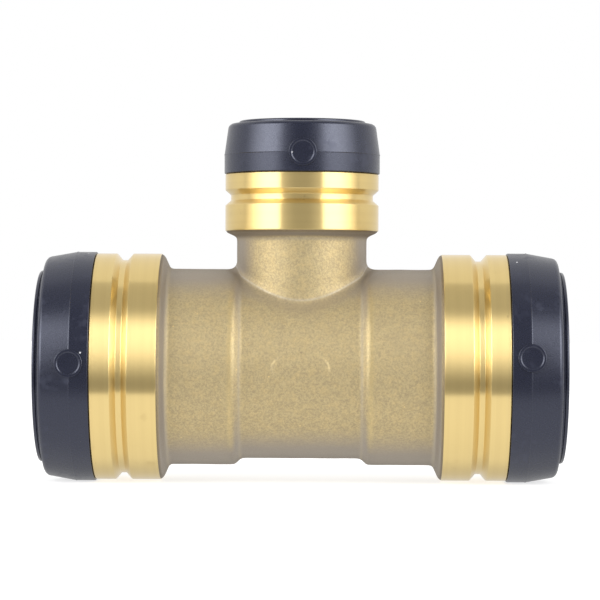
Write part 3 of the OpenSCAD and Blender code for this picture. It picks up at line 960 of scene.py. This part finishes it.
class TEE_OT_end_caps(bpy.types.Operator):
    """Build the three clip-on caps with their mould lines and round bosses"""

    bl_idname = "tee.end_caps"
    bl_label = "End Caps"
    bl_options = {"REGISTER", "UNDO"}

    def execute(self, context):
        shape = context.scene.tee_shape
        for port in PORT_TURN:
            given = sizes(port)
            bm = spun(self.outline(given, shape), steps(port))
            cap = make_object(f"{port}_end_cap_look", bm, [cap_plastic()])
            for front in (-1, 1):
                combine(cap, self.boss(given, shape, front), "UNION")
            self.place(cap, port, getattr(shape, f"{port}_cap_turn"))
            smooth_shade(cap, 32)
            fixed_piece(cap, f"{port}_end_cap")
        return {"FINISHED"}

    def outline(self, given, shape):
        """The cap's section: skirt, mould line, taper, face, lip, cavity and the bead that clips on."""
        low = given.seam_a + PLAY
        mould = given.seam_a + shape.mould_a
        face_r = given.cap_r - (given.face_a - mould) * math.tan(given.cap_draft)
        skirt_r = given.nose_r + PLAY
        clip = given.nose_end - CLIP_BACK
        top = given.nose_end + PLAY
        return [
            (skirt_r, low, 0.15 * MM),
            (given.cap_r, low, 0.25 * MM),
            (given.cap_r, mould - 0.14 * MM),
            (given.cap_r + 0.13 * MM, mould, 0.05 * MM),
            (given.cap_r, mould + 0.18 * MM),
            (face_r, given.face_a, shape.cap_rim),
            (given.collar_r + 0.08 * MM, given.face_a, 0.3 * MM),
            (given.collar_r + 0.08 * MM, given.lip_a, 0.15 * MM),
            (given.cavity_r, given.lip_a, 0.3 * MM),
            (given.cavity_r, top),
            (skirt_r, top),
            (skirt_r, clip + 0.7 * MM),
            (skirt_r - 0.4 * MM, clip + 0.7 * MM, 0.1 * MM),
            (skirt_r - 0.4 * MM, clip - 0.7 * MM, 0.1 * MM),
            (skirt_r, clip - 1.2 * MM),
        ]

    def boss(self, given, shape, front):
        """A round boss with a shallow dish, standing on one side of the cap."""
        height = given.cap_r + shape.boss_h
        dish_r = 0.76 * shape.boss_r
        corners = [
            (0.0, given.cap_r - 1.5 * MM),
            (shape.boss_r, given.cap_r - 1.5 * MM),
            (shape.boss_r, height, 0.22 * MM),
            (dish_r + 0.3 * MM, height, 0.12 * MM),
            (dish_r, height - 0.24 * MM, 0.12 * MM),
            (0.0, height - 0.24 * MM),
        ]
        bm = spun(corners, 72)
        tip = Matrix.Rotation(math.pi / 2 * -front, 4, "X")
        lift = Matrix.Translation((0.0, 0.0, given.seam_a + shape.mould_a))
        bmesh.ops.transform(bm, matrix=lift @ tip, verts=bm.verts[:])
        return make_object("boss", bm, [cap_plastic()])

    def place(self, cap, port, own_turn):
        """Turns a cap on its port by its own small angle, then turns it to the port."""
        bm = bmesh.new()
        bm.from_mesh(cap.data)
        mark_heights(bm)
        own = Matrix.Rotation(own_turn, 4, "Z")
        bmesh.ops.transform(bm, matrix=PORT_TURN[port] @ own, verts=bm.verts[:])
        bm.to_mesh(cap.data)
        bm.free()


# Release collars


class TEE_OT_release_collars(bpy.types.Operator):
    """Build the three release collars, with the flange that keeps each in its cap"""

    bl_idname = "tee.release_collars"
    bl_label = "Release Collars"
    bl_options = {"REGISTER", "UNDO"}

    def execute(self, context):
        finish = context.scene.tee_finish
        for port in PORT_TURN:
            given = sizes(port)
            wall = given.sleeve_out - given.sleeve_in
            line = given.collar_end - 1.1 * MM
            corners = [
                (given.sleeve_in, given.sleeve_a, 0.25 * MM),
                (given.sleeve_out, given.sleeve_a + wall * given.sleeve_slope, 0.25 * MM),
                (given.sleeve_out, given.flange_low, 0.2 * MM),
                (given.flange_r, given.flange_low, 0.15 * MM),
                (given.flange_r, given.flange_top, 0.15 * MM),
                (given.collar_r, given.flange_top, 0.1 * MM),
                (given.collar_r, line - 0.16 * MM),
                (given.collar_r - 0.22 * MM, line),
                (given.collar_r, line + 0.16 * MM),
                (given.collar_r, given.collar_end, 0.6 * MM),
                (given.sleeve_in + 0.72 * MM, given.collar_end, 0.2 * MM),
                (given.sleeve_in, given.collar_end - 1.2 * MM, 0.2 * MM),
            ]
            bm = spun(corners, steps(port))
            material = plain_plastic("collar_look", finish.collar, finish.collar_gloss)
            piece = port_piece(port, "release_collar", bm, material, 32)
            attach(piece, f"{port}_collar")
            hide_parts(f"{port}_release_collar")
        return {"FINISHED"}


# Grip rings


class TEE_OT_grip_rings(bpy.types.Operator):
    """Build the three toothed grip rings of spring steel"""

    bl_idname = "tee.grip_rings"
    bl_label = "Grip Rings"
    bl_options = {"REGISTER", "UNDO"}

    STEPS_PER_TOOTH = 8

    def execute(self, context):
        for port in PORT_TURN:
            given = sizes(port)
            middle = given.grip_a + given.grip_t / 2
            tip_r = given.pipe_r + SEATED
            bm = bmesh.new()
            rim = bm.verts.new((given.pocket_r - 0.15 * MM, 0.0, middle))
            root = bm.verts.new((given.root_r, 0.0, middle))
            tip = bm.verts.new((tip_r + 0.25 * MM, 0.0, middle - given.tooth_drop))
            bm.edges.new((rim, root))
            blade = bm.edges.new((root, tip))
            bmesh.ops.subdivide_edges(bm, edges=[blade], cuts=4)
            bmesh.ops.spin(
                bm, geom=bm.verts[:] + bm.edges[:], cent=(0, 0, 0), axis=(0, 0, 1), angle=FULL_TURN,
                steps=given.teeth * self.STEPS_PER_TOOTH, use_merge=True, use_duplicate=False,
            )
            self.cut_slots(bm, given)
            bmesh.ops.recalc_face_normals(bm, faces=bm.faces[:])
            bmesh.ops.solidify(bm, geom=bm.faces[:], thickness=given.grip_t)
            bmesh.ops.recalc_face_normals(bm, faces=bm.faces[:])
            self.centre(bm, middle, given)
            piece = port_piece(port, "grip_ring", bm, spring_steel(), 30)
            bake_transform(piece)
            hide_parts(f"{port}_grip_ring")
        return {"FINISHED"}

    def cut_slots(self, bm, given):
        """Takes out the faces between the teeth."""
        pitch = FULL_TURN / given.teeth
        slots = []
        for face in bm.faces:
            middle = face.calc_center_median()
            if math.hypot(middle.x, middle.y) < given.root_r - 0.2 * MM:
                turn = math.atan2(middle.y, middle.x) % pitch / pitch
                if turn < 1 / self.STEPS_PER_TOOTH:
                    slots.append(face)
        bmesh.ops.delete(bm, geom=slots, context="FACES")

    def centre(self, bm, middle, given):
        """Moves the sheet so that the flat rim stands where the setting says."""
        low = min(v.co.z for v in bm.verts if math.hypot(v.co.x, v.co.y) > given.root_r + 0.3 * MM)
        bmesh.ops.translate(bm, vec=(0, 0, given.grip_a - low), verts=bm.verts[:])


# Inner rings


def build_rings(part, section, material_name, tone, roughness):
    """Spins one kind of ring for each port from its section, and rides it on the tee."""
    for port in PORT_TURN:
        bm = spun(section(sizes(port)), steps(port), 3)
        piece = port_piece(port, part, bm, plain_plastic(material_name, tone, roughness))
        fixed_piece(piece, f"{port}_{part}")


class TEE_OT_seal_rings(bpy.types.Operator):
    """Build the six rubber seal rings"""

    bl_idname = "tee.seal_rings"
    bl_label = "Seal Rings"
    bl_options = {"REGISTER", "UNDO"}

    def execute(self, context):
        finish = context.scene.tee_finish
        for port in PORT_TURN:
            given = sizes(port)
            for which, height in (("inner_seal", given.inner_seal_a), ("outer_seal", given.outer_seal_a)):
                bm = bmesh.new()
                bmesh.ops.create_circle(bm, cap_ends=False, radius=given.seal_t / 2, segments=28)
                middle_r = given.pipe_r + SEATED + given.seal_t / 2
                stand = Matrix.Translation((middle_r, 0, height)) @ Matrix.Rotation(math.pi / 2, 4, "X")
                bmesh.ops.transform(bm, matrix=stand, verts=bm.verts[:])
                bmesh.ops.spin(
                    bm, geom=bm.verts[:] + bm.edges[:], cent=(0, 0, 0), axis=(0, 0, 1),
                    angle=FULL_TURN, steps=steps(port), use_merge=True, use_duplicate=False,
                )
                bmesh.ops.recalc_face_normals(bm, faces=bm.faces[:])
                material = plain_plastic("rubber_look", finish.rubber, 0.42, 900.0)
                piece = port_piece(port, which, bm, material)
                fixed_piece(piece, f"{port}_{which}")
        return {"FINISHED"}


class TEE_OT_spacer_rings(bpy.types.Operator):
    """Build the three spacer rings that part the seals"""

    bl_idname = "tee.spacer_rings"
    bl_label = "Spacer Rings"
    bl_options = {"REGISTER", "UNDO"}

    def execute(self, context):
        tone = context.scene.tee_finish.spacer
        build_rings("seal_spacer", self.section, "spacer_look", tone, 0.38)
        return {"FINISHED"}

    def section(self, given):
        """A flat ring whose outside is relieved between two rims."""
        low = given.spacer_a
        top = low + given.spacer_h
        bore = given.pipe_r + 0.25 * MM
        out_r = given.pocket_r - PLAY
        return [
            (bore, low, 0.15 * MM),
            (out_r, low, 0.1 * MM),
            (out_r, low + 0.35 * MM),
            (out_r - 0.6 * MM, low + 0.5 * MM, 0.1 * MM),
            (out_r - 0.6 * MM, top - 0.5 * MM, 0.1 * MM),
            (out_r, top - 0.35 * MM),
            (out_r, top, 0.1 * MM),
            (bore, top, 0.15 * MM),
        ]


class TEE_OT_seal_protectors(bpy.types.Operator):
    """Build the three rings that keep a pipe's edge off the seals"""

    bl_idname = "tee.seal_protectors"
    bl_label = "Seal Protectors"
    bl_options = {"REGISTER", "UNDO"}

    def execute(self, context):
        tone = context.scene.tee_finish.protector
        build_rings("seal_protector", self.section, "protector_look", tone, 0.36)
        return {"FINISHED"}

    def section(self, given):
        """A ring with a lead-in cone for the pipe's edge."""
        low = given.protector_a
        top = low + given.protector_h
        out_r = given.pocket_r - PLAY
        bore = given.pipe_r + 0.2 * MM
        return [
            (bore, low, 0.2 * MM),
            (out_r, low, 0.2 * MM),
            (out_r, top, 0.2 * MM),
            (bore + 1.1 * MM, top, 0.15 * MM),
            (bore, top - 1.1 * MM, 0.15 * MM),
        ]


class TEE_OT_grip_supports(bpy.types.Operator):
    """Build the three rings with the cone that the teeth lean into"""

    bl_idname = "tee.grip_supports"
    bl_label = "Grip Supports"
    bl_options = {"REGISTER", "UNDO"}

    def execute(self, context):
        tone = context.scene.tee_finish.support
        build_rings("grip_support", self.section, "support_look", tone, 0.34)
        return {"FINISHED"}

    def section(self, given):
        """A ring with a rim that the grip ring lies on, and a cone with room for its bent teeth."""
        low = given.support_a
        top = low + given.support_h
        out_r = given.pocket_r - PLAY
        bore = given.pipe_r + 0.3 * MM
        return [
            (bore, low, 0.15 * MM),
            (out_r, low, 0.2 * MM),
            (out_r, top, 0.15 * MM),
            (out_r - 0.6 * MM, top, 0.1 * MM),
            (out_r - 0.6 * MM, top - 1.9 * MM),
            (bore + 0.3 * MM, low + 0.4 * MM, 0.05 * MM),
            (bore, low + 0.4 * MM),
        ]


class TEE_OT_grip_retainers(bpy.types.Operator):
    """Build the three rings that hold the grip rings down"""

    bl_idname = "tee.grip_retainers"
    bl_label = "Grip Retainers"
    bl_options = {"REGISTER", "UNDO"}

    def execute(self, context):
        tone = context.scene.tee_finish.support
        build_rings("grip_retainer", self.section, "support_look", tone, 0.34)
        return {"FINISHED"}

    def section(self, given):
        """A plain ring that guides the collar's sleeve, as high as the brass rim."""
        out_r = given.pocket_r - PLAY
        bore = given.sleeve_out + 0.08 * MM
        return [
            (bore, given.retainer_a, 0.1 * MM),
            (out_r, given.retainer_a, 0.2 * MM),
            (out_r, given.nose_end - 0.5 * MM, 0.1 * MM),
            (out_r - 0.5 * MM, given.nose_end, 0.1 * MM),
            (bore, given.nose_end, 0.15 * MM),
        ]


# Stage


def light_the_room(stage):
    """A studio seen from the tee: a tall box on each side in front, a pale table and backdrop."""
    world = bpy.data.worlds.new("studio")
    bpy.context.scene.world = world
    world.use_nodes = True
    tree = world.node_tree
    tree.nodes.clear()
    direction = node(tree, "TexCoord").outputs["Generated"]
    split = node(tree, "SeparateXYZ", {0: direction}).outputs
    away = calc(tree, "MULTIPLY", split["Y"], -1.0)
    side = calc(tree, "ABSOLUTE", split["X"])
    turn = calc(tree, "ARCTAN2", side, away)
    rise = calc(tree, "ARCSINE", split["Z"])

    def deg(value):
        return math.radians(value)

    # Two tall boxes in front of the tee, one on each side, in a dim room with a paler ceiling
    glow = ease(tree, turn, deg(8), deg(32), 0.0, 0.10)
    edge = calc(tree, "ADD", glow, ease(tree, turn, deg(30), deg(37), 0.0, 0.9))
    box = calc(tree, "MULTIPLY", edge, ease(tree, turn, deg(52), deg(104), 1.0, 0.0))
    box = calc(tree, "MULTIPLY", box, ease(tree, rise, deg(-15), deg(20)))
    box = calc(tree, "MULTIPLY", box, ease(tree, rise, deg(30), deg(55), 1.0, 0.0))
    room = ease(tree, rise, deg(52), deg(72), 0.37, 0.58)
    light = calc(tree, "MULTIPLY_ADD", box, stage.box_light, room)
    # Backdrop behind and above the tee
    behind = ease(tree, split["Y"], 0.10, 0.14)
    light = node(tree, "Mix", {0: behind, 2: light, 3: 0.90}, data_type="FLOAT").outputs[0]
    # Table top, whose front edge lies twice as far away as it lies below
    reach = calc(tree, "MULTIPLY_ADD", split["Z"], -2.0, split["Y"])
    below = ease(tree, split["Z"], -0.04, -0.01, 1.0, 0.0)
    table = calc(tree, "MULTIPLY", ease(tree, reach, -0.01, 0.03), below)
    top = ease(tree, split["Y"], -0.70, 0.25, 1.07, 0.97)
    top = calc(tree, "SUBTRACT", top, ease(tree, split["Y"], 0.19, 0.71, 0.0, 0.27))
    light = node(tree, "Mix", {0: table, 2: light, 3: top}, data_type="FLOAT").outputs[0]
    light = calc(tree, "MULTIPLY", light, stage.room_light)
    seen = node(tree, "Background", {"Color": (1, 1, 1, 1), "Strength": 1.0})
    lit = node(tree, "Background", {"Color": (1.0, 0.995, 0.985, 1), "Strength": light})
    camera_ray = node(tree, "LightPath").outputs["Is Camera Ray"]
    both = node(tree, "MixShader", {0: camera_ray, 1: lit.outputs[0], 2: seen.outputs[0]})
    leave = tree.nodes.new("ShaderNodeOutputWorld")
    tree.links.new(both.outputs[0], leave.inputs[0])


def floor_material(stage):
    """Pale paper with the faintest mottle."""
    material, tree, shader = start_material("pale_floor")
    mottle = object_noise(tree, 9.0, 3.0)
    tone = mix_colours(tree, ease(tree, mottle, 0.3, 0.7, 0.0, 0.05), stage.floor, (0.46, 0.46, 0.46, 1.0))
    feed(tree, shader, Base_Color=tone, Roughness=0.9, Specular_IOR_Level=0.0)
    feed(tree, shader, Emission_Color=(1, 1, 1, 1), Emission_Strength=stage.floor_glow)
    return material


class TEE_OT_stage(bpy.types.Operator):
    """Set up the floor, the studio light and the camera"""

    bl_idname = "tee.stage"
    bl_label = "Stage"
    bl_options = {"REGISTER", "UNDO"}

    def execute(self, context):
        stage = context.scene.tee_stage
        light_the_room(stage)
        bm = bmesh.new()
        bmesh.ops.create_grid(bm, x_segments=8, y_segments=8, size=stage.floor_size / 2)
        bmesh.ops.translate(bm, vec=(0, 0, cad_box[0][2]), verts=bm.verts[:])
        floor = make_object("floor", bm, [floor_material(stage)])
        floor.visible_glossy = False
        data = bpy.data.cameras.new("camera")
        data.lens = stage.lens
        data.sensor_width = 36.0
        data.clip_end = 20.0
        camera = bpy.data.objects.new("camera", data)
        context.scene.collection.objects.link(camera)
        spot = Vector((stage.side, -stage.distance, stage.height))
        place = Matrix.Rotation(stage.object_yaw, 4, "Z") @ spot
        level = Matrix.Rotation(math.pi / 2, 4, "X")
        turn = Matrix.Rotation(stage.object_yaw + stage.yaw, 4, "Z") @ level
        camera.matrix_world = Matrix.Translation(place) @ turn @ Matrix.Rotation(stage.roll, 4, "Z")
        context.scene.camera = camera
        context.scene.view_settings.view_transform = "Standard"
        return {"FINISHED"}


# Add-on


OPERATORS = (
    TEE_OT_stage,
    TEE_OT_forged_body,
    TEE_OT_turned_ends,
    TEE_OT_end_caps,
    TEE_OT_release_collars,
    TEE_OT_grip_rings,
    TEE_OT_seal_rings,
    TEE_OT_spacer_rings,
    TEE_OT_seal_protectors,
    TEE_OT_grip_supports,
    TEE_OT_grip_retainers,
)


class TEE_PT_panel(bpy.types.Panel):
    """Lists the pieces of the tee"""

    bl_idname = "TEE_PT_panel"
    bl_label = "Reducing Tee"
    bl_space_type = "VIEW_3D"
    bl_region_type = "UI"
    bl_category = "Tee"

    def draw(self, context):
        for operator in OPERATORS:
            self.layout.operator(operator.bl_idname)


SETTINGS = {
    "tee_run": RunPortSettings,
    "tee_branch": BranchPortSettings,
    "tee_shape": ShapeSettings,
    "tee_finish": FinishSettings,
    "tee_stage": StageSettings,
}


def register():
    """Registers the settings, the operators and the panel."""
    for name, group in SETTINGS.items():
        bpy.utils.register_class(group)
        setattr(bpy.types.Scene, name, bpy.props.PointerProperty(type=group))
    for operator in OPERATORS:
        bpy.utils.register_class(operator)
    bpy.utils.register_class(TEE_PT_panel)


def unregister():
    """Takes back what register did."""
    bpy.utils.unregister_class(TEE_PT_panel)
    for operator in reversed(OPERATORS):
        bpy.utils.unregister_class(operator)
    for name, group in reversed(SETTINGS.items()):
        delattr(bpy.types.Scene, name)
        bpy.utils.unregister_class(group)


def main():
    """Builds the whole tee."""
    register()
    for operator in OPERATORS:
        group, name = operator.bl_idname.split(".")
        getattr(getattr(bpy.ops, group), name)()
    bpy.context.view_layer.update()


if __name__ == "__main__":
    main()
